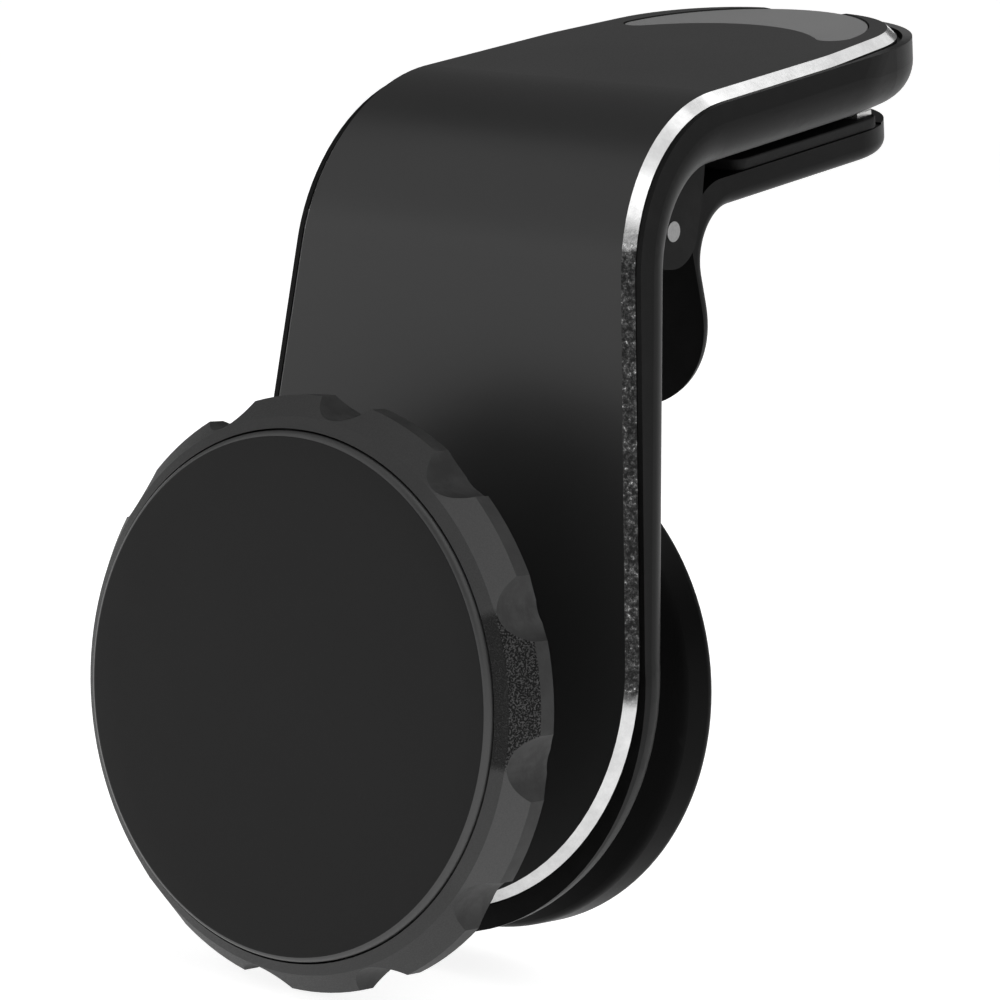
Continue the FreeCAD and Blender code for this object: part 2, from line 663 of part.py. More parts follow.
def outer_rim(lever):
    """The edges all round the lever's rear face, which runs from the jaw's underside to the tail's back."""
    jaw_floor, edges = arm_point(0, size("jaw_bottom")), []
    for face in lever.Faces:
        on_jaw = abs((face.CenterOfMass - jaw_floor).dot(INTO)) < 1e-3
        on_tail = abs((face.CenterOfMass - TAIL_START).dot(TAIL_IN)) < 1e-3
        in_bend = (isinstance(face.Surface, Part.Cylinder) and abs(face.Surface.Axis.x) > 0.9
                   and abs(face.Surface.Radius - size("lever_inner_round")) < 1e-3)
        if on_jaw or on_tail or in_bend:
            edges += [edge for edge in face.Edges if not is_seam(edge)]
    return edges


def is_seam(edge):
    """True where the flats run into the bend: such an edge lies along X, about the middle."""
    straight = edge.BoundBox.YLength < 1e-6 and edge.BoundBox.ZLength < 1e-6
    return straight and abs(edge.CenterOfMass.x) < 1


def lever_lugs():
    pin_y, pin_z, radius = size("pivot_y"), size("pivot_z"), size("lug_radius")
    inner, outer = size("lug_inner_x"), size("lever_half_width")
    reach = size("lug_reach")
    web = [(pin_y, pin_z + radius), (pin_y + reach - 1.3, pin_z + 2.1), (pin_y + reach, pin_z + 0.4),
           (pin_y + reach - 0.3, pin_z - 1.6), (pin_y, pin_z - radius)]
    lugs = []
    for start in (inner, -outer):
        lugs.append(prism([(Vector(start, y, z), 0) for y, z in web], Vector(outer - inner, 0, 0)))
        lugs.append(Part.makeCylinder(radius, outer - inner, Vector(start, pin_y, pin_z), Vector(1, 0, 0)))
    return lugs


def jaw_pad():
    half, start, end = size("jaw_pad_half_width"), size("jaw_pad_start_a"), size("jaw_pad_end_a")
    pad = arm_prism([(half, start, 1), (half, end, 2), (-half, end, 2), (-half, start, 1)],
                    size("jaw_pad_top"), size("jaw_top"))
    return pad.cut(jaw_hook())


def jaw_hook():
    half, start = size("hook_half_width"), size("hook_a")
    end = start + size("hook_width")
    bar = arm_prism([(half, start, 0), (half, end, 0), (-half, end, 0), (-half, start, 0)],
                    size("hook_top"), size("hook_bottom"))
    upper = [edge for edge in bar.Edges
             if abs((edge.CenterOfMass - arm_point(0, size("hook_top"))).dot(INTO)) < 1e-6]
    return bar.makeFillet(0.35, upper)


def torsion_spring():
    """A close coil round the pin; one leg reaches the lever's tail, the other the housing."""
    wire, coil, length = size("wire_radius"), size("coil_radius"), size("coil_length")
    helix = Part.makeHelix(size("coil_pitch"), length, coil)
    section = Part.Wire(Part.makeCircle(wire, Vector(coil, 0, 0), Vector(0, 1, 0)))
    spring = Part.Wire(helix.Edges).makePipeShell([section], True, True)
    to_tail = Vector(size("tail_leg_y"), -size("leg_drop"), 0)
    to_housing = Vector(-size("housing_leg_y"), -size("leg_drop"), 0)
    legs = [Part.makeCylinder(wire, to_tail.Length, Vector(coil, 0, 0), to_tail),
            Part.makeCylinder(wire, to_housing.Length, Vector(-coil, 0, length), to_housing)]
    return spring.fuse(legs)


feature("clip_lever", clip_lever(), "plate")
feature("jaw_pad", jaw_pad(), "plate")
feature("jaw_hook", jaw_hook(), "plate")
feature("arm_pad", arm_prism(arm_pad_outline(), size("housing_depth") - size("arm_pad_sunk"),
                             size("arm_pad_bottom")), "plate")
pivot_pin = primitive("Part::Cylinder", "pivot_pin", ALONG_X, Radius="pin_radius", Height="pin_length")
place(pivot_pin, "pivot")
pivot_pin.setExpression("Placement.Base.x", "Sizes.pin_length * -0.5")
keep(pivot_pin, "pivot_pin")
spring = feature("torsion_spring", torsion_spring(), "pivot")
spring.Placement.Rotation = FreeCAD.Rotation(Vector(0, 1, 0), Vector(0, 0, 1), Vector(1, 0, 0), "ZXY")
spring.setExpression("Placement.Base.x", "Sizes.coil_length * -0.5")


# ---- ball joint --------------------------------------------------------------------------------------

ball = primitive("Part::Sphere", "ball", Radius="ball_radius")
neck = rod("neck", "neck_radius", "0", "stud_flange_front + 0.1")
stud_flange = rod("stud_flange", "stud_flange_radius", "stud_flange_front",
                  "0 - ball_y - stud_washer_thickness")
thread = rod("thread", "thread_radius", "stud_flange_front", "stud_end")
ball_stud = fused("ball_stud", [ball, neck, stud_flange, thread])
place(ball_stud, "ball")
keep(ball_stud, "ball_stud")

washer_front, washer_back = "0 - ball_y - stud_washer_thickness", "0 - ball_y"
turned("stud_washer", "ball", [
    (washer_front, "stud_hole"), (washer_front, "stud_washer_radius"),
    (washer_back, "stud_washer_radius"), (washer_back, "stud_hole"),
])

nut_blank = primitive("Part::Prism", "nut_blank", ALONG_Y, Circumradius="Sizes.nut_across / sqrt(3)",
                      Height="nut_thickness", y="nut_seat - ball_y")
nut_bore = rod("nut_bore", "stud_hole", "nut_seat - ball_y", "stud_end")
stud_nut = cut("stud_nut", nut_blank, nut_bore)
place(stud_nut, "ball")
keep(stud_nut, "stud_nut")

liner_ball = primitive("Part::Sphere", "liner_ball", Radius="liner_radius")
liner_slab = rod("liner_slab", "cup_flange_radius", "0 - liner_front", "liner_back")
liner_zone = doc.addObject("Part::Common", "liner_zone")
liner_zone.Base = liner_ball
liner_zone.Tool = liner_slab
liner_space = primitive("Part::Sphere", "liner_space", Radius="liner_bore")
ball_liner = cut("ball_liner", liner_zone, liner_space)
place(ball_liner, "ball")
keep(ball_liner, "ball_liner")

cup_body = rod("cup_body", "cup_radius", "0 - cup_front", "cup_back")
cup_flange = rod("cup_flange", "cup_flange_radius", "0 - cup_front", "0 - cup_flange_back")
cup_sphere = primitive("Part::Sphere", "cup_sphere", Radius="cup_cavity")
cup_mouth = rod("cup_mouth", "cup_cavity", "0 - cup_front", "0")
ball_cup = cut("ball_cup", fused("cup_solid", [cup_body, cup_flange]),
               fused("cup_space", [cup_sphere, cup_mouth]))
place(ball_cup, "ball")
keep(ball_cup, "ball_cup")


# ---- head --------------------------------------------------------------------------------------------

def disc(label, radius, front, back):
    return turned(label, "head", [(front, "0"), (front, radius), (back, radius), (back, "0")])


def head_screw_holes(body, radius, front, back):
    drilled(body, body.Label + "_holes_" + radius.split()[0], radius, "screw_circle",
            int(size("screw_count")), size("screw_phase"), front, back)


front_pad = disc("front_pad", "pad_radius", "0 - pad_crown", "pad_back")
rounded_rims(front_pad, "front_pad_round", "pad_round", [("0 - pad_crown", "pad_radius")])
disc("pad_adhesive", "film_radius", "pad_back", "film_back")

magnet_carrier = disc("magnet_carrier", "carrier_radius", "film_back", "carrier_back")
drilled(magnet_carrier, "magnet_pockets", "magnet_radius + magnet_gap", "magnet_circle",
        int(size("magnet_count")), 0, "magnet_front", "carrier_back")
head_screw_holes(magnet_carrier, "screw_radius + screw_gap", "film_back", "carrier_back")
head_screw_holes(magnet_carrier, "screw_head_radius + screw_gap", "film_back", "screw_head_back")

group("magnets", "head", [rod("magnet", "magnet_radius", "magnet_front", "magnet_back", **where)
                          for where in around("magnet_circle", int(size("magnet_count")), 0)])

keeper_plate = disc("keeper_plate", "keeper_radius", "carrier_back", "keeper_back")
head_screw_holes(keeper_plate, "screw_radius + screw_gap", "carrier_back", "keeper_back")

grip_ring = turned("grip_ring", "head", [
    ("0", "ring_bore"), ("lip_back", "lip_radius"), ("facet_back", "ring_radius"),
    ("side_back", "ring_radius"), ("ring_back", "ring_back_radius"), ("ring_back", "ring_bore"),
])
drilled(grip_ring, "scoops", "scoop_radius", "scoop_circle", int(size("scoop_count")), size("scoop_phase"),
        "0 - pad_back", "ring_back + pad_back")

head_back = turned("head_back", "head", [
    ("carrier_back", "shell_seat_radius"), ("carrier_back", "shell_radius"),
    ("shell_rim_back", "shell_radius"), ("shell_shoulder_back", "shell_shoulder_radius"),
    ("shell_neck_back", "shell_neck_radius"), ("collar_back", "collar_radius"),
    ("collar_chamfer_back", "collar_radius"), ("collar_end_back", "collar_end_radius"),
    ("collar_end_back", "cup_bore"), ("flange_seat_back", "cup_bore"), ("flange_seat_back", "flange_bore"),
    ("shell_seat_back", "flange_bore"), ("shell_seat_back", "shell_seat_radius"),
])
head_screw_holes(head_back, "screw_radius", "shell_seat_back", "screw_end_back")

turned("clamp_ring", "head", [
    ("washer_front", "washer_bore"), ("washer_front", "washer_radius"), ("washer_back", "washer_radius"),
    ("washer_back", "washer_bore"),
])
screws("head_screws", "head", "screw_circle", int(size("screw_count")), size("screw_phase"),
       "screw_head_radius", "screw_head_front", "screw_head_back", "screw_end_back")


# ---- checks and files ----------------------------------------------------------------------------------

doc.recompute()
for item in doc.Objects:
    if "Invalid" in item.State or "Error" in item.State:
        raise RuntimeError(f"{item.Label} did not build: {item.State}")
for node in nodes:
    if node.Shape.isNull() or not node.Shape.isValid() or not node.Shape.Solids:
        raise RuntimeError(f"{node.Label} has no valid solid")
for node in nodes:
    node.Shape.exportStep(f"parts/{node.Label}.step")
    print(f"{node.Label:16s} {len(node.Shape.Solids)} solids {node.Shape.Volume:9.1f} mm3")
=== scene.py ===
import math

import bmesh
import bpy
from mathutils import Matrix, Vector


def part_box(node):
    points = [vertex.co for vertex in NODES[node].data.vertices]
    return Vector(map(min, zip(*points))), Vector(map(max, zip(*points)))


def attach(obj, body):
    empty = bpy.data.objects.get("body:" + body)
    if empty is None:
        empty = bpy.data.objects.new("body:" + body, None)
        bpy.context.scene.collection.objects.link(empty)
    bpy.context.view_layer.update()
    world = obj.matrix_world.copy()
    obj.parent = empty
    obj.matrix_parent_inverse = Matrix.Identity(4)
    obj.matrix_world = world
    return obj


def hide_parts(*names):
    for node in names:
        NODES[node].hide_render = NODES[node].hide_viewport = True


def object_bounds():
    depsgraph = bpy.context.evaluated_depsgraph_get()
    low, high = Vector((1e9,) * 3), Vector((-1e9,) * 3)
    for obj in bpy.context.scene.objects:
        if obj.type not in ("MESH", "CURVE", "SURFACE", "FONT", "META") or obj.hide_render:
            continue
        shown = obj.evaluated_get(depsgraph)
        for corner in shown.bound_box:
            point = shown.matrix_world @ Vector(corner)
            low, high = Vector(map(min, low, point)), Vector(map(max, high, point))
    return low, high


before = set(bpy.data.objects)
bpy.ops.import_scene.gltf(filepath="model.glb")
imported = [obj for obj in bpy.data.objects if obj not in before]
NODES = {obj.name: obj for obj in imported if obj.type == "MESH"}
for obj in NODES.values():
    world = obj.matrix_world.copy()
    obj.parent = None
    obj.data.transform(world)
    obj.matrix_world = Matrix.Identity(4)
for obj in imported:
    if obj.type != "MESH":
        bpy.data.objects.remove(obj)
CAD_LOW, CAD_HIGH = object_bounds()

MM = 0.001
JAW_TO_PLATE = Vector((0, -0.0306, -0.0404))

# ---- camera --------------------------------------------------------------------------------------

# Angles in degrees, distances in metres: back from the target, and across the view.
CAMERA_AZIMUTH, CAMERA_ELEVATION, CAMERA_ROLL = 38.839967, 6.766761, -4.163039
CAMERA_DISTANCE, CAMERA_SIDEWAYS, CAMERA_UP = 0.349230734, -0.001662337, -0.024814265
CAMERA_TARGET = JAW_TO_PLATE + Vector((0, 0.010, 0.035))
LENS, SENSOR = 159.96, 36.0


def make_camera():
    az, el, roll = (math.radians(a) for a in (CAMERA_AZIMUTH, CAMERA_ELEVATION, CAMERA_ROLL))
    back = Vector((math.sin(az) * math.cos(el), -math.cos(az) * math.cos(el), math.sin(el)))
    right = Vector((math.cos(az), math.sin(az), 0))
    up = back.cross(right)
    where = CAMERA_TARGET + CAMERA_DISTANCE * back + CAMERA_SIDEWAYS * right + CAMERA_UP * up
    across = math.cos(roll) * right - math.sin(roll) * up
    upward = math.sin(roll) * right + math.cos(roll) * up
    data = bpy.data.cameras.new("camera")
    data.lens, data.sensor_width = LENS, SENSOR
    data.clip_start, data.clip_end = 0.01, 10
    camera = bpy.data.objects.new("camera", data)
    bpy.context.scene.collection.objects.link(camera)
    camera.matrix_world = Matrix((
        (across.x, upward.x, back.x, where.x),
        (across.y, upward.y, back.y, where.y),
        (across.z, upward.z, back.z, where.z),
        (0, 0, 0, 1)))
    bpy.context.scene.camera = camera


make_camera()

# ---- helpers -------------------------------------------------------------------------------------


def grey(level):
    return (level, level, level)


def linked(name, mesh):
    """Turns a bmesh into an object of the scene."""
    data = bpy.data.meshes.new(name)
    mesh.to_mesh(data)
    mesh.free()
    made = bpy.data.objects.new(name, data)
    bpy.context.scene.collection.objects.link(made)
    return made


class Nodes:
    """Short ways to add shader nodes to one material."""

    def __init__(self, name):
        self.material = bpy.data.materials.new(name)
        self.material.use_nodes = True
        self.tree = self.material.node_tree
        self.shader = self.tree.nodes["Principled BSDF"]
        self.place = self.add("ShaderNodeTexCoord").outputs["Object"]

    def add(self, kind, **settings):
        node = self.tree.nodes.new(kind)
        for key, value in settings.items():
            setattr(node, key, value)
        return node

    def link(self, source, target):
        self.tree.links.new(source, target)

    def noise(self, size, detail=2.0, rough=0.5, stretch=(1, 1, 1)):
        """Noise with a grain of about that size in metres."""
        mapping = self.add("ShaderNodeMapping")
        mapping.inputs["Scale"].default_value = [s / size for s in stretch]
        self.link(self.place, mapping.inputs["Vector"])
        noise = self.add("ShaderNodeTexNoise")
        noise.inputs["Scale"].default_value = 1.0
        noise.inputs["Detail"].default_value = detail
        noise.inputs["Roughness"].default_value = rough
        self.link(mapping.outputs[0], noise.inputs["Vector"])
        return noise.outputs["Fac"]

    def ramp(self, source, stops):
        """Maps a value through (position, grey level or colour) stops."""
        ramp = self.add("ShaderNodeValToRGB")
        elements = ramp.color_ramp.elements
        while len(elements) < len(stops):
            elements.new(0.5)
        for element, (where, value) in zip(elements, stops):
            element.position = where
            element.color = (*value, 1) if isinstance(value, tuple) else (value, value, value, 1)
        self.link(source, ramp.inputs["Fac"])
        return ramp.outputs["Color"]

    def math(self, operation, a, b):
        node = self.add("ShaderNodeMath", operation=operation)
        for socket, value in zip(node.inputs, (a, b)):
            if isinstance(value, (int, float)):
                socket.default_value = value
            else:
                self.link(value, socket)
        return node.outputs[0]

    def vector(self, operation, source, constant=None):
        """A vector operation on an output and, if given, a constant."""
        node = self.add("ShaderNodeVectorMath", operation=operation)
        self.link(source, node.inputs[0])
        if constant is not None:
            node.inputs[1].default_value = constant
        return node.outputs["Value" if operation == "DOT_PRODUCT" else "Vector"]

    def mix(self, factor, a, b):
        """Blend of two colours."""
        node = self.add("ShaderNodeMix", data_type="RGBA")
        for socket, value in zip((node.inputs["Factor"], node.inputs["A"], node.inputs["B"]), (factor, a, b)):
            if isinstance(value, (int, float)):
                socket.default_value = value
            elif isinstance(value, tuple):
                socket.default_value = (*value, 1)
            else:
                self.link(value, socket)
        return node.outputs["Result"]

    def step(self, value, edge, width):
        """Rises smoothly from 0 to 1 across an edge, or falls if the width is negative."""
        node = self.add("ShaderNodeMapRange", interpolation_type="SMOOTHSTEP")
        self.link(value, node.inputs["Value"])
        node.inputs["From Min"].default_value = edge - abs(width) / 2
        node.inputs["From Max"].default_value = edge + abs(width) / 2
        node.inputs["To Min"].default_value = 0.0 if width > 0 else 1.0
        node.inputs["To Max"].default_value = 1.0 if width > 0 else 0.0
        return node.outputs["Result"]

    def bump(self, height, distance, strength=1.0, under=None):
        node = self.add("ShaderNodeBump")
        node.inputs["Distance"].default_value = distance
        node.inputs["Strength"].default_value = strength
        self.link(height, node.inputs["Height"])
        if under is not None:
            self.link(under, node.inputs["Normal"])
        return node.outputs["Normal"]

    def set(self, **sockets):
        names = {"base": "Base Color", "rough": "Roughness", "metal": "Metallic", "normal": "Normal",
                 "specular": "Specular IOR Level"}
        for key, value in sockets.items():
            socket = self.shader.inputs[names[key]]
            if isinstance(value, (int, float)):
                socket.default_value = value
            elif isinstance(value, tuple):
                socket.default_value = (*value, 1)
            else:
                self.link(value, socket)


def plastic(name, dark, light, rough, grain, depth, specular=0.5, patch=0.012, wear=0.0):
    """Moulded plastic or rubber: a fine grain, patches that are a little lighter, and rubbed edges."""
    n = Nodes(name)
    speck = n.noise(grain, 3, 0.6)
    patches = n.noise(patch, 3, 0.5)
    both = n.math("ADD", n.math("MULTIPLY", speck, 0.6), n.math("MULTIPLY", patches, 0.4))
    tone = n.ramp(both, [(0.3, dark), (0.7, light)])
    if wear:
        edge = n.ramp(n.add("ShaderNodeNewGeometry").outputs["Pointiness"], [(0.52, 0.0), (0.60, wear)])
        tone = n.mix(n.math("MULTIPLY", edge, n.ramp(n.noise(0.002, 4, 0.7), [(0.4, 0.2), (0.6, 1.0)])),
                     tone, grey(min(1.0, 3 * light)))
    n.set(base=tone, rough=n.ramp(both, [(0.3, rough - 0.06), (0.7, rough + 0.06)]),
          normal=n.bump(speck, depth), specular=specular)
    return n.material


def metal(name, tint, rough, grain, stretch=(1, 1, 1), depth=0.00001):
    """Machined or plated metal with fine tool marks."""
    n = Nodes(name)
    marks = n.noise(grain, 3, 0.6, stretch)
    patches = n.noise(0.006, 2, 0.5)
    tone = n.ramp(marks, [(0.3, tuple(0.8 * c for c in tint)), (0.7, tint)])
    n.set(base=tone, metal=1.0, rough=n.ramp(n.math("ADD", n.math("MULTIPLY", patches, 0.5),
                                                    n.math("MULTIPLY", marks, 0.5)),
                                             [(0.3, rough - 0.05), (0.7, rough + 0.08)]),
          normal=n.bump(marks, depth))
    return n.material


def paint(piece, material):
    """Gives a piece its material, in place of any it has."""
    piece.data.materials.clear()
    piece.data.materials.append(material)


# ---- finishes ------------------------------------------------------------------------------------

# The plate's bend, from the plate's own datum, and heights along its bevel, from the frame's origin.
BEND_RADIUS, BEND_START = 0.01455, 0.0293
ARM_ANGLE = math.radians(78.36)
ARM = Vector((0, math.sin(ARM_ANGLE), math.cos(ARM_ANGLE)))
INTO = Vector((0, math.cos(ARM_ANGLE), -math.sin(ARM_ANGLE)))
# Heights of the run painted dark, a painted dark reflection, and of the bend's foot, painted near white as a
# painted highlight.
PAINTED_DARK_RUN_LOW, PAINTED_DARK_RUN_HIGH = -0.0420, -0.0081
PAINTED_HIGHLIGHT_LOW, PAINTED_HIGHLIGHT_HIGH = -0.0200, -0.0035


def facing(point):
    """The way the plate's face looks at a point of it: forwards on the leg, turning up onto the arm."""
    y, z = point.y - JAW_TO_PLATE.y, point.z - JAW_TO_PLATE.z
    angle = math.atan2(z - BEND_START, BEND_RADIUS - y)
    angle = min(max(angle, 0.0), ARM_ANGLE)
    return Vector((0, -math.cos(angle), math.sin(angle)))


def cut_edge_metal():
    """Cut bevel: bright round the ends and the bend, with a painted highlight at the bend's foot; between,
    torn and rougher, painted dark with pale flecks as a painted reflection.
    """
    n = Nodes("cut_edge")
    height = n.vector("DOT_PRODUCT", n.place, (0, 0, 1))
    ragged = n.math("ADD", height, n.math("MULTIPLY", n.noise(0.0009, 3, 0.6), 0.0012))
    run = n.math("MULTIPLY", n.step(ragged, PAINTED_DARK_RUN_LOW, 0.0016), n.step(ragged, PAINTED_DARK_RUN_HIGH, -0.0008))
    tears = n.noise(0.00030, 4, 0.75)
    patches = n.noise(0.0011, 3, 0.6)
    torn = n.math("ADD", n.math("MULTIPLY", tears, 0.72), n.math("MULTIPLY", patches, 0.28))
    # Painted reflection: dark with pale flecks along the run.
    painted_reflection_flecks = n.ramp(torn, [(0.44, 0.020), (0.53, 0.055), (0.60, 0.16), (0.66, 0.75)])
    foot = n.math("MULTIPLY", n.step(height, PAINTED_HIGHLIGHT_LOW, 0.0010), n.step(height, PAINTED_HIGHLIGHT_HIGH, -0.0040))
    # Painted highlight: near white at the bend's foot.
    bright = n.mix(foot, n.ramp(n.noise(0.0022, 4, 0.7), [(0.3, 0.52), (0.7, 0.67)]), grey(0.97))
    n.set(base=n.mix(run, bright, painted_reflection_flecks), metal=1.0,
          rough=n.math("ADD", n.math("MULTIPLY", run, 0.22), n.math("MULTIPLY", tears, 0.3)),
          normal=n.bump(n.math("MULTIPLY", tears, run), 0.00006, 0.8))
    return n.material


def lip_with_painted_highlight():
    """The housing's narrow lip round the arm, paler towards the arm's tip as a painted highlight."""
    n = Nodes("housing_lip")
    along = n.vector("DOT_PRODUCT", n.place, ARM)
    ragged = n.math("ADD", along, n.math("MULTIPLY", n.noise(0.0016, 4, 0.7), 0.003))
    # Painted highlight: the lip's base is paler further along the arm, towards its tip.
    n.set(base=n.mix(n.step(ragged, 0.0115, 0.0060), grey(0.006), grey(0.100)), rough=0.45, specular=0.15,
          normal=n.bump(n.noise(0.00012, 3, 0.6), 0.000004))
    return n.material


# The side of the ring that carries painted shade.
PAINTED_SHADE_ANGLE = math.radians(10)
PAINTED_SHADE_SIDE = Vector((math.cos(PAINTED_SHADE_ANGLE), 0, math.sin(PAINTED_SHADE_ANGLE)))


def spark_grain(name, plain, pale, painted_shade):
    """The ring's front, from a spark-eroded tool: plain all round, pale at one side, and nearest that side
    ridged, with painted shade and painted shadows between the ridges.
    """
    n = Nodes(name)
    low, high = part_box("grip_ring")
    spoke = n.vector("MULTIPLY", n.vector("SUBTRACT", n.place, (low + high) / 2), (1, 0, 1))
    closeness = n.vector("DOT_PRODUCT", n.vector("NORMALIZE", spoke), PAINTED_SHADE_SIDE)
    ridges = n.ramp(n.noise(0.00013, 1.5, 0.45), [(0.45, 0.0), (0.62, 1.0)])
    fine = n.noise(0.00010, 2, 0.5)
    plain_tone = n.ramp(fine, [(0.35, plain[0]), (0.65, plain[1])])
    pale_tone = n.ramp(fine, [(0.35, pale[0]), (0.65, pale[1])])
    # Painted shade: near black between the ridges and lighter on them, as painted ridge shadows.
    painted_shade_tone = n.ramp(ridges, [(0.0, painted_shade[0]), (1.0, painted_shade[1])])
    beside = n.step(closeness, 0.72, 0.10)
    ridged_painted_shade_zone = n.step(closeness, 0.9625, 0.012)
    height = n.math("ADD", n.math("MULTIPLY", n.math("MULTIPLY", ridges, ridged_painted_shade_zone), 0.9),
                    n.math("MULTIPLY", fine, 0.1))
    n.set(base=n.mix(ridged_painted_shade_zone, n.mix(beside, plain_tone, pale_tone), painted_shade_tone),
          rough=n.math("SUBTRACT", 0.62, n.math("MULTIPLY", ridges, 0.12)), specular=0.2,
          normal=n.bump(height, 0.00008))
    return n.material


finish = {
    "plate_lacquer": plastic("plate_lacquer", 0.0165, 0.0190, 0.36, 0.00012, 0.000003, 0.35, 0.02),
    "housing_plastic": plastic("housing_plastic", 0.0036, 0.0052, 0.40, 0.0001, 0.000003, 0.065, wear=0.3),
    "ring_plastic": plastic("ring_plastic", 0.024, 0.031, 0.55, 0.00016, 0.000008, 0.12, wear=0.3),
    "pad_rubber": plastic("pad_rubber", 0.0033, 0.0056, 0.58, 0.00013, 0.000010, 0.2),
    # The pad's rim: glossier than the face, and paler as a painted highlight.
    "pad_edge_painted_highlight": plastic("pad_edge_painted_highlight", 0.030, 0.040, 0.42, 0.00013, 0.000005, 0.5, wear=0.3),
    "foot_plastic": plastic("foot_plastic", 0.0016, 0.0026, 0.36, 0.00015, 0.000002, 0.02, wear=0.3),
    "lever_plastic": plastic("lever_plastic", 0.0030, 0.0046, 0.40, 0.00015, 0.000003, 0.055, wear=0.3),
    "shell_plastic": plastic("shell_plastic", 0.008, 0.012, 0.45, 0.00014, 0.000005, 0.2, wear=0.3),
    "inlay_grey": plastic("inlay_grey", 0.195, 0.225, 0.55, 0.00012, 0.000004, 0.4),
    "grip_rubber": plastic("grip_rubber", 0.006, 0.010, 0.70, 0.00018, 0.000012, 0.2, wear=0.4),
    "foil": plastic("adhesive_film", 0.34, 0.44, 0.5, 0.0004, 0.00001),
    "nylon": plastic("nylon", 0.54, 0.64, 0.45, 0.0003, 0.000006),
    "steel": metal("steel", (0.62, 0.62, 0.61), 0.28, 0.0002, (1, 1, 4)),
    "pin_steel": metal("pin_steel", (0.30, 0.30, 0.30), 0.42, 0.00022, (3, 1, 1), 0.00002),
    "spring_steel": metal("spring_steel", (0.5, 0.5, 0.5), 0.25, 0.0001, (4, 1, 1)),
    "nickel": metal("nickel", (0.66, 0.64, 0.60), 0.2, 0.0003),
}

for name, material in {
    "front_plate": "plate_lacquer", "top_inlay": "inlay_grey", "plate_adhesive": "foil",
    "housing": "housing_plastic", "foot_cover": "foot_plastic", "foot_pad": "grip_rubber",
    "foot_screws": "steel", "clip_lever": "lever_plastic", "jaw_pad": "grip_rubber",
    "jaw_hook": "steel", "arm_pad": "grip_rubber", "pivot_pin": "pin_steel",
    "torsion_spring": "spring_steel", "ball_stud": "steel", "stud_washer": "steel",
    "stud_nut": "steel", "ball_liner": "nylon", "ball_cup": "steel", "front_pad": "pad_rubber",
    "pad_adhesive": "foil", "magnet_carrier": "shell_plastic", "magnets": "nickel",
    "keeper_plate": "steel", "grip_ring": "ring_plastic", "head_back": "shell_plastic",
    "clamp_ring": "nylon", "head_screws": "steel",
}.items():
    paint(NODES[name], finish[material])


def second_materials(node, materials, choose):
    """Adds materials to a CAD node and gives each of its faces the index that choose returns."""
    for material in materials:
        NODES[node].data.materials.append(material)
    for polygon in NODES[node].data.polygons:
        polygon.material_index = choose(polygon)


second_materials("front_plate", [cut_edge_metal()],
                 lambda face: int(0.55 < face.normal.dot(facing(face.center)) < 0.85))
second_materials("housing", [lip_with_painted_highlight()], lambda face: int(face.normal.dot(INTO) < -0.999))
# The last pair of tones in each is the painted shade with its painted ridge shadows.
second_materials("grip_ring", [spark_grain("ring_facet", (0.036, 0.044), (0.060, 0.070), (0.001, 0.062)),
                               spark_grain("ring_lip", (0.034, 0.040), (0.038, 0.046), (0.010, 0.021))],
                 lambda face: 2 if face.normal.y < -0.75 else int(face.normal.y < -0.58))

# ---- rubber faces and spring ---------------------------------------------------------------------


def new_piece(mesh, name, node, body):
    """Makes a mesh into a piece that stands for a CAD node and takes over its material."""
    piece = linked(name, mesh)
    paint(piece, NODES[node].data.materials[0])
    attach(piece, body)
    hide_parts(node)
    return piece


def turned_piece(name, node, body, profile, segments=160):
    """A round piece on the node's axis, from a profile of (depth behind its front, radius), axis to axis."""
    low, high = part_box(node)
    across, up = (low.x + high.x) / 2, (low.z + high.z) / 2
    mesh = bmesh.new()
    rings = []
    for depth, radius in profile[1:-1]:
        ring = [(across + radius * math.cos(a), low.y + depth, up + radius * math.sin(a))
                for a in (2 * math.pi * k / segments for k in range(segments))]
        rings.append([mesh.verts.new(point) for point in ring])
    for first, second in zip(rings, rings[1:]):
        for k in range(segments):
            following = (k + 1) % segments
            mesh.faces.new((first[k], first[following], second[following], second[k]))
    for ring, depth in ((rings[0], profile[0][0]), (rings[-1], profile[-1][0])):
        pole = mesh.verts.new((across, low.y + depth, up))
        for k in range(segments):
            mesh.faces.new((ring[k], ring[(k + 1) % segments], pole))
    bmesh.ops.recalc_face_normals(mesh, faces=mesh.faces[:])
    for face in mesh.faces:
        face.smooth = True
    return new_piece(mesh, name, node, body)


def quarter(depth, radius, bend, steps=6):
    """Profile points of a rounded front edge whose sharp corner would stand at that depth and radius."""
    return [(depth + bend * (1 - math.cos(a)), radius - bend * (1 - math.sin(a)))
            for a in (math.pi / 2 * k / steps for k in range(steps + 1))]


def front_pad():
    """The round face: a hair higher in its middle, with a soft shoulder all round."""
    low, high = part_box("front_pad")
    radius, depth = (high.x - low.x) / 2, high.y - low.y
    crown, shoulder = 0.06 * MM, 0.55 * MM
    face = [(0.0, 0.0)] + [(crown * (r / radius) ** 2, r) for r in (radius * k / 14 for k in range(1, 13))]
    face += quarter(crown, radius, shoulder)
    pad = turned_piece("pad_face", "front_pad", "head", face + [(depth, radius), (depth, 0.0)])
    # The shoulder and back take the paler rim material, a painted highlight.
    pad.data.materials.append(finish["pad_edge_painted_highlight"])
    for polygon in pad.data.polygons:
        polygon.material_index = 1 if polygon.normal.y > -0.98 else 0


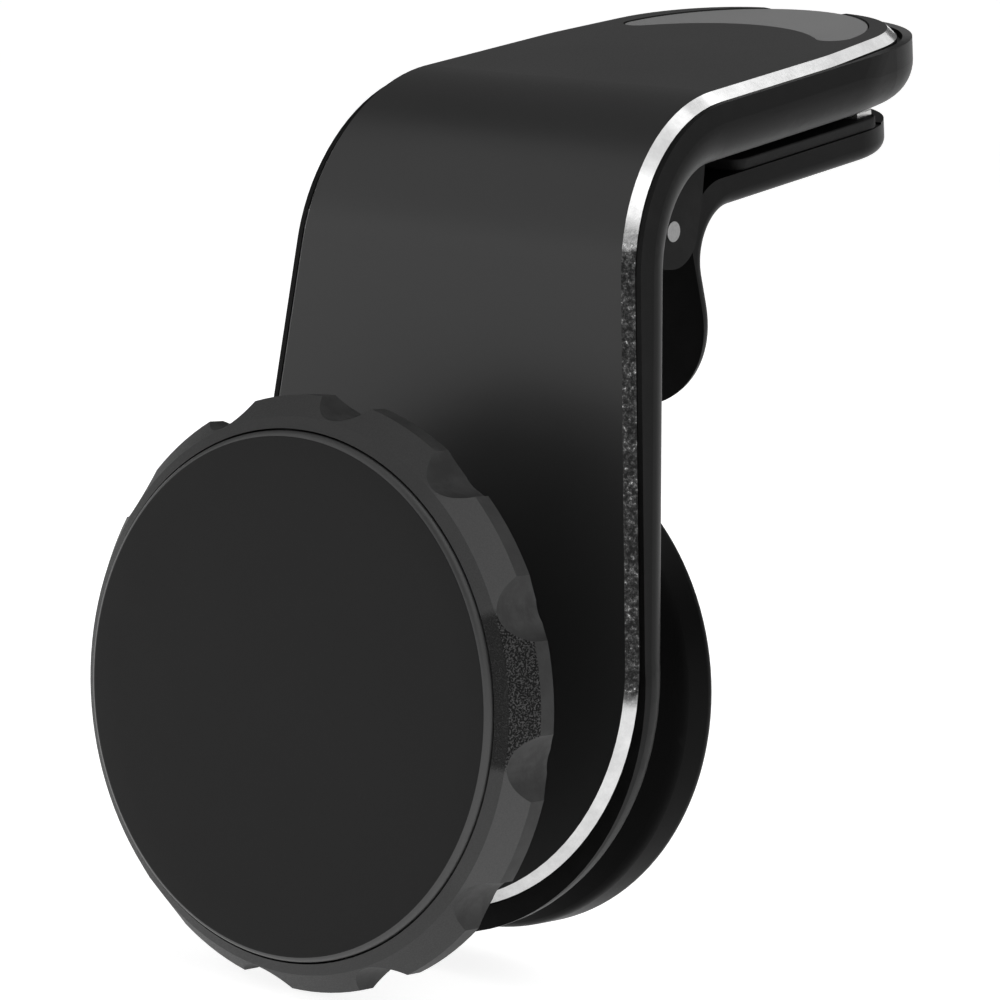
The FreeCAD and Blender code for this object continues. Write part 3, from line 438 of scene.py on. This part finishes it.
def foot_pad():
    """The foot's rubber disc, with four rounded grooves in its rear face and a rounded rim."""
    low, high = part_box("foot_pad")
    radius, depth = (high.x - low.x) / 2, high.y - low.y
    middle_radius, groove_half, groove_depth, rim = 1.2 * MM, 0.6 * MM, 0.5 * MM, 0.4 * MM
    rear = [(depth, 0.0), (depth, middle_radius)]
    for groove in (3.0 * MM, 6.1 * MM, 9.2 * MM, 12.2 * MM):
        rear += [(depth - groove_depth * math.cos(math.pi / 2 * k / 4) ** 0.7, groove + groove_half * k / 4)
                 for k in range(-4, 5)]
    rear += [(depth, radius - rim), (depth - 0.3 * rim, radius - 0.3 * rim), (depth - rim, radius)]
    return turned_piece("foot_sole", "foot_pad", "base",
                        [(0.0, 0.0), (0.0, radius)] + rear[::-1])


GROOVE_RADIUS, GROOVE_PITCH, GROOVE_DEPTH, GROOVE_LENGTH = 0.60 * MM, 1.70 * MM, 0.32 * MM, 16 * MM


def grooved_pad(name, node, body, first, last, side):
    """A copy of a jaw face with softened edges and rounded grooves across it, on its gripping side."""
    mesh = bmesh.new()
    mesh.from_mesh(NODES[node].data)
    bmesh.ops.remove_doubles(mesh, verts=mesh.verts[:], dist=1e-7)
    bmesh.ops.dissolve_limit(mesh, angle_limit=math.radians(0.5), verts=mesh.verts[:], edges=mesh.edges[:])
    alongs = [v.co.dot(ARM) for v in mesh.verts]
    depths = [v.co.dot(INTO) for v in mesh.verts]
    start, end = min(alongs) + first, max(alongs) - last
    level = min(depths) if side < 0 else max(depths)
    piece = new_piece(mesh, name, node, body)
    bevel = piece.modifiers.new("edge", "BEVEL")
    bevel.width, bevel.segments, bevel.limit_method = 0.00022, 2, "ANGLE"
    bevel.angle_limit = math.radians(40)
    cutters = bmesh.new()
    for k in range(int((end - start) / GROOVE_PITCH) + 1):
        centre = ARM * (start + k * GROOVE_PITCH) + INTO * (level + side * (GROOVE_RADIUS - GROOVE_DEPTH))
        turn = Matrix.Translation(centre) @ Matrix.Rotation(math.pi / 2, 4, "Y")
        bmesh.ops.create_cone(cutters, cap_ends=True, segments=24, radius1=GROOVE_RADIUS,
                              radius2=GROOVE_RADIUS, depth=GROOVE_LENGTH, matrix=turn)
    tool = linked(name + "_cutters", cutters)
    grooves = piece.modifiers.new("grooves", "BOOLEAN")
    grooves.operation, grooves.solver, grooves.object = "DIFFERENCE", "EXACT", tool
    bpy.context.view_layer.update()
    shaped = bpy.data.meshes.new_from_object(piece.evaluated_get(bpy.context.evaluated_depsgraph_get()))
    piece.modifiers.clear()
    piece.data = shaped
    bpy.data.objects.remove(tool)


def wire_piece(name, body, points, radius, sides=12):
    """Part of the spring: a round wire swept along points, none of its runs along X."""
    mesh = bmesh.new()
    rings = []
    for k, point in enumerate(points):
        along = (points[min(k + 1, len(points) - 1)] - points[max(k - 1, 0)]).normalized()
        side = along.cross(Vector((1, 0, 0))).normalized()
        upward = side.cross(along)
        rings.append([mesh.verts.new(point + radius * (math.cos(a) * side + math.sin(a) * upward))
                      for a in (2 * math.pi * j / sides for j in range(sides))])
    for first, second in zip(rings, rings[1:]):
        for j in range(sides):
            following = (j + 1) % sides
            mesh.faces.new((first[j], first[following], second[following], second[j])).smooth = True
    mesh.faces.new(rings[0])
    mesh.faces.new(rings[-1])
    bmesh.ops.recalc_face_normals(mesh, faces=mesh.faces[:])
    return new_piece(mesh, name, "torsion_spring", body)


def spring():
    """The coil with its housing leg, and the leg that turns with the lever."""
    low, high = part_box("pivot_pin")
    centre = (low + high) / 2
    wire, radius, pitch, length = 0.35 * MM, 1.5 * MM, 0.8 * MM, 9.2 * MM
    drop, housing_reach, lever_reach = -5.1 * MM, -3.4 * MM, 4.68 * MM
    start, steps = -length / 2, int(length / pitch * 24)
    turn = 2 * math.pi * length / pitch
    coil = [centre + Vector((start + length * k / steps, radius * math.cos(turn * k / steps),
                             radius * math.sin(turn * k / steps))) for k in range(steps + 1)]
    wire_piece("spring_coil", "base", coil + [coil[-1] + Vector((0, housing_reach, drop))], wire)
    wire_piece("spring_leg", "lever", [coil[0], coil[0] + Vector((0, lever_reach, drop))], wire)


spring()
front_pad()
foot_pad()
grooved_pad("jaw_grip", "jaw_pad", "lever", 0.0015, 0.0040, -1)
grooved_pad("arm_grip", "arm_pad", "base", 0.0020, 0.0030, 1)

# ---- floor and light -----------------------------------------------------------------------------

FLOOR_RADIUS, FLOOR_FLAT_RADIUS, RIM_BEND = 4.5, 0.5, 1.125
FLOOR_GAP = 0.2 * MM
WALL_BOTTOM, WALL_TOP = 0.5, 3.0
FLOOR_GLOW = 0.85
SPOKES = 72


def studio_paper():
    n = Nodes("studio_paper")
    n.set(base=n.ramp(n.noise(0.02, 3), [(0.3, 0.56), (0.7, 0.60)]), rough=0.9, specular=0.1)
    n.shader.inputs["Emission Color"].default_value = (1, 1, 1, 1)
    n.shader.inputs["Emission Strength"].default_value = FLOOR_GLOW
    return n.material


def round_backdrop(name, profile, material, filled):
    """A surface turned about Z from (radius, height) points, its middle closed if filled."""
    mesh = bmesh.new()
    angles = [2 * math.pi * k / SPOKES for k in range(SPOKES)]
    rings = [[mesh.verts.new((radius * math.cos(a), radius * math.sin(a), height)) for a in angles]
             for radius, height in profile]
    if filled:
        mesh.faces.new(rings[0])
    for inner, outer in zip(rings, rings[1:]):
        for k in range(SPOKES):
            following = (k + 1) % SPOKES
            mesh.faces.new((inner[k], outer[k], outer[following], inner[following]))
    backdrop = linked(name, mesh)
    paint(backdrop, material)
    return backdrop


def studio():
    """A round pale floor whose rim curves up all round, and a wall above it that only the camera sees."""
    paper = studio_paper()
    ground, rim = CAD_LOW.z - FLOOR_GAP, FLOOR_RADIUS - RIM_BEND
    bends = [math.radians(6 * k) for k in range(1, 13)]
    dish = [(FLOOR_FLAT_RADIUS, ground), (rim, ground)]
    dish += [(rim + RIM_BEND * math.sin(a), ground + RIM_BEND - RIM_BEND * math.cos(a)) for a in bends]
    floor = round_backdrop("floor", dish, paper, True)
    wall = round_backdrop("wall", [(FLOOR_RADIUS, WALL_BOTTOM), (FLOOR_RADIUS, WALL_TOP)], paper, False)
    wall.visible_diffuse = wall.visible_glossy = wall.visible_transmission = wall.visible_shadow = False


studio()
CENTRE = (CAD_LOW + CAD_HIGH) / 2


def area_light(name, where, width, height, radiance):
    """A soft box that looks that bright in a mirror."""
    data = bpy.data.lights.new(name, "AREA")
    data.shape, data.size, data.size_y = "RECTANGLE", width, height
    data.energy = radiance * width * height * math.pi
    light = bpy.data.objects.new(name, data)
    bpy.context.scene.collection.objects.link(light)
    light.location = where
    light.rotation_euler = (CENTRE - Vector(where)).to_track_quat("-Z", "Y").to_euler()


area_light("front_left", (-0.50, -0.60, 0.45), 0.9, 0.9, 0.8)
area_light("upper_right", (0.42, 0.18, 0.62), 1.0, 0.75, 1.0)
area_light("upper_rear", (0.05, 0.70, 0.58), 0.7, 0.5, 0.95)
area_light("right_strip", (0.88, -0.42, 0.50), 0.35, 0.8, 1.0)
area_light("overhead", (0.0, 0.0, 2.2), 2.0, 2.0, 0.5)

world = bpy.data.worlds.new("studio")
bpy.context.scene.world = world
world.use_nodes = True
sky = world.node_tree.nodes["Background"]
sky.inputs["Color"].default_value = (1, 1, 1, 1)
sky.inputs["Strength"].default_value = 0.16
bpy.context.scene.view_settings.view_transform = "Standard"
